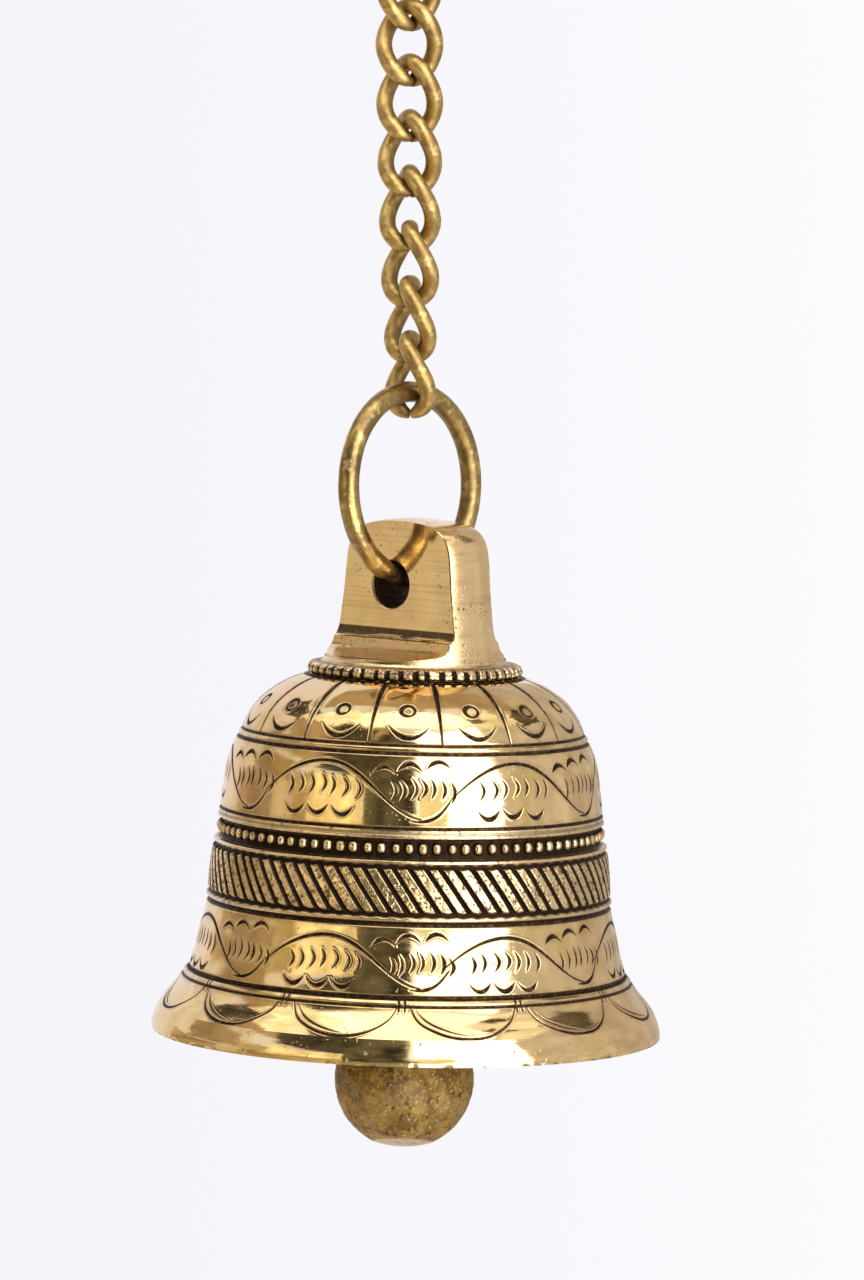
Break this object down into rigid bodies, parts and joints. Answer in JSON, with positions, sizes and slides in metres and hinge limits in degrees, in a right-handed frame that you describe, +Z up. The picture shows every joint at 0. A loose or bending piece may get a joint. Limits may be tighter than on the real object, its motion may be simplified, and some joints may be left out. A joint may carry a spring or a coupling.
{
  "type": "temple bell",
  "caption": "Small engraved brass bell with a pierced lug, hung by a wire ring on a curb chain with a hook, with a free clapper inside.",
  "frame": {"origin": "hang point: inside top of the chain's hook, where it rests on what holds it", "axes": "+Z up along the chain, +X to the right in the front view, -Y towards the viewer"},
  "size_m": [0.076, 0.0761, 0.2177],
  "materials": {
    "polished_brass": "turned and polished brass, dark patina in the engraving",
    "satin_brass": "satin drawn brass wire with brown patina",
    "cast_brass": "rough as-cast brass, dull and pitted"
  },
  "bodies": {
    "hook": {"top_hook": "satin_brass"},
    "link_01": {"chain_link_01": "satin_brass"},
    "link_02": {"chain_link_02": "satin_brass"},
    "link_03": {"chain_link_03": "satin_brass"},
    "link_04": {"chain_link_04": "satin_brass"},
    "link_05": {"chain_link_05": "satin_brass"},
    "link_06": {"chain_link_06": "satin_brass"},
    "link_07": {"chain_link_07": "satin_brass"},
    "link_08": {"chain_link_08": "satin_brass"},
    "link_09": {"chain_link_09": "satin_brass"},
    "link_10": {"chain_link_10": "satin_brass"},
    "ring": {"suspension_ring": "satin_brass"},
    "bell": {"bell_casting": "polished_brass", "crown_staple": "satin_brass"},
    "clapper": {"clapper_rod": "satin_brass", "clapper_ball": "cast_brass"}
  },
  "joints": [
    {"name": "link_01_swing", "type": "hinge", "parent": "hook", "child": "link_01", "pos_m": [0, 0, -0.0229], "axis": [0, 1, 0], "range_deg": [-35, 35]},
    {"name": "link_02_swing", "type": "hinge", "parent": "link_01", "child": "link_02", "pos_m": [0, 0, -0.02825], "axis": [0.8387, -0.5446, 0], "range_deg": [-35, 35]},
    {"name": "link_03_swing", "type": "hinge", "parent": "link_02", "child": "link_03", "pos_m": [0, 0, -0.03905], "axis": [-0.4848, -0.8746, 0], "range_deg": [-35, 35]},
    {"name": "link_04_swing", "type": "hinge", "parent": "link_03", "child": "link_04", "pos_m": [0, 0, -0.04465], "axis": [-0.6293, 0.7771, 0], "range_deg": [-35, 35]},
    {"name": "link_05_swing", "type": "hinge", "parent": "link_04", "child": "link_05", "pos_m": [0, 0, -0.05545], "axis": [0.7314, 0.682, 0], "range_deg": [-35, 35]},
    {"name": "link_06_swing", "type": "hinge", "parent": "link_05", "child": "link_06", "pos_m": [0, 0, -0.06105], "axis": [0.2924, -0.9563, 0], "range_deg": [-35, 35]},
    {"name": "link_07_swing", "type": "hinge", "parent": "link_06", "child": "link_07", "pos_m": [0, 0, -0.07185], "axis": [-0.9336, -0.3584, 0], "range_deg": [-35, 35]},
    {"name": "link_08_swing", "type": "hinge", "parent": "link_07", "child": "link_08", "pos_m": [0, 0, -0.07745], "axis": [0.0698, 0.9976, 0], "range_deg": [-35, 35]},
    {"name": "link_09_swing", "type": "hinge", "parent": "link_08", "child": "link_09", "pos_m": [0, 0, -0.08825], "axis": [1, 0, 0], "range_deg": [-35, 35]},
    {"name": "link_10_swing", "type": "hinge", "parent": "link_09", "child": "link_10", "pos_m": [0, 0, -0.09385], "axis": [-0.3256, -0.9455, 0], "range_deg": [-35, 35]},
    {"name": "ring_swing", "type": "hinge", "parent": "link_10", "child": "ring", "pos_m": [0, 0, -0.10175], "axis": [-0.6561, -0.7547, 0], "range_deg": [-45, 45]},
    {"name": "bell_swing", "type": "hinge", "parent": "ring", "child": "bell", "pos_m": [0, 0, -0.12935], "axis": [0.6561, 0.7547, 0], "range_deg": [-45, 45]},
    {"name": "clapper_swing", "type": "hinge", "parent": "bell", "child": "clapper", "pos_m": [0.00035, -0.0003, -0.15138], "axis": [-0.6561, -0.7547, 0], "range_deg": [-25, 25]}
  ]
}
